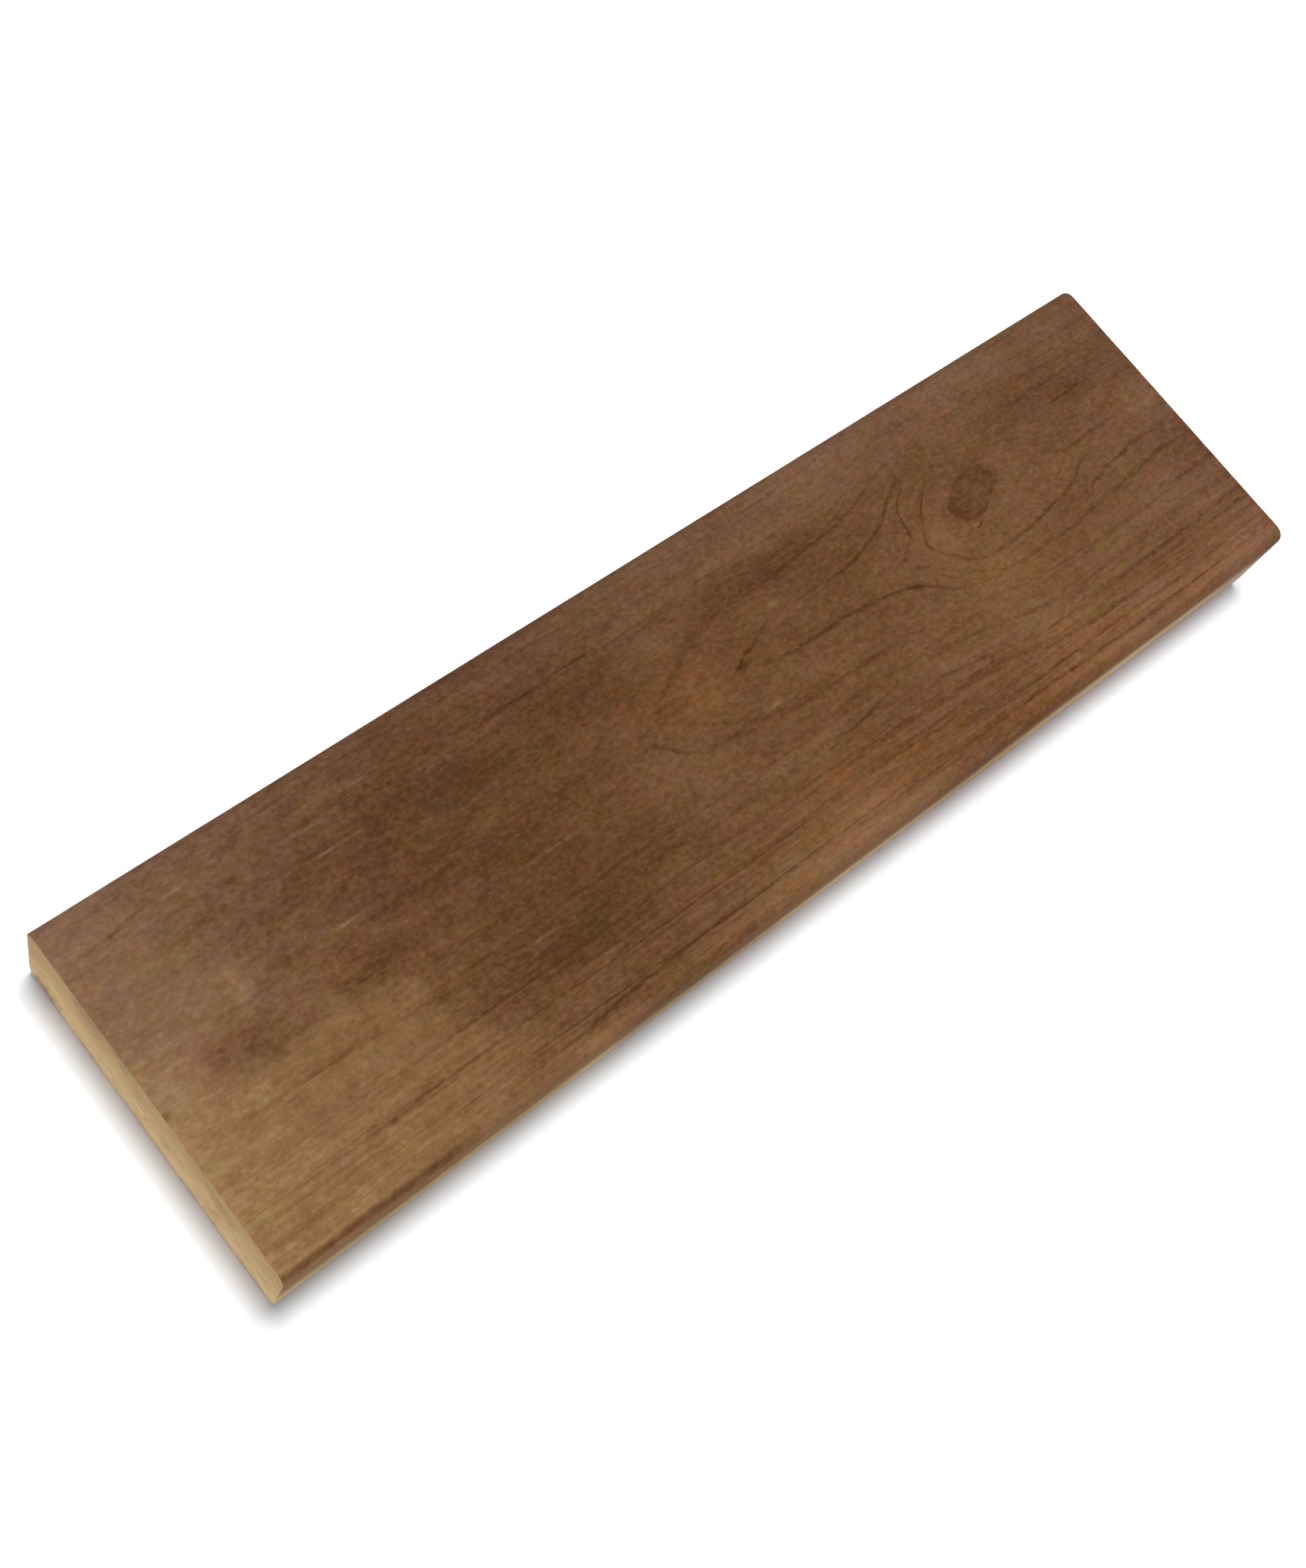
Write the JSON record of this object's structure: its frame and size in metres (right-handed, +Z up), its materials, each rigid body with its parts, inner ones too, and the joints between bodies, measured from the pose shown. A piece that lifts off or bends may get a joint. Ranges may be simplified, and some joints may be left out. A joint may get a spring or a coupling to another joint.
{
  "type": "thermally modified alder board",
  "caption": "Straight length of planed heat-treated alder board with rounded long arrises and square sawn ends, for benches, shelves and panelling.",
  "frame": {"origin": "middle of the underside, on the plane that the board lies on", "axes": "+X along the grain and the length, +Y across the width, +Z up through the thickness"},
  "size_m": [0.324, 0.09, 0.028],
  "materials": {
    "thermo_alder": "planed satin, heat-treated brown"
  },
  "bodies": {
    "root": {"board": "thermo_alder"}
  },
  "joints": []
}
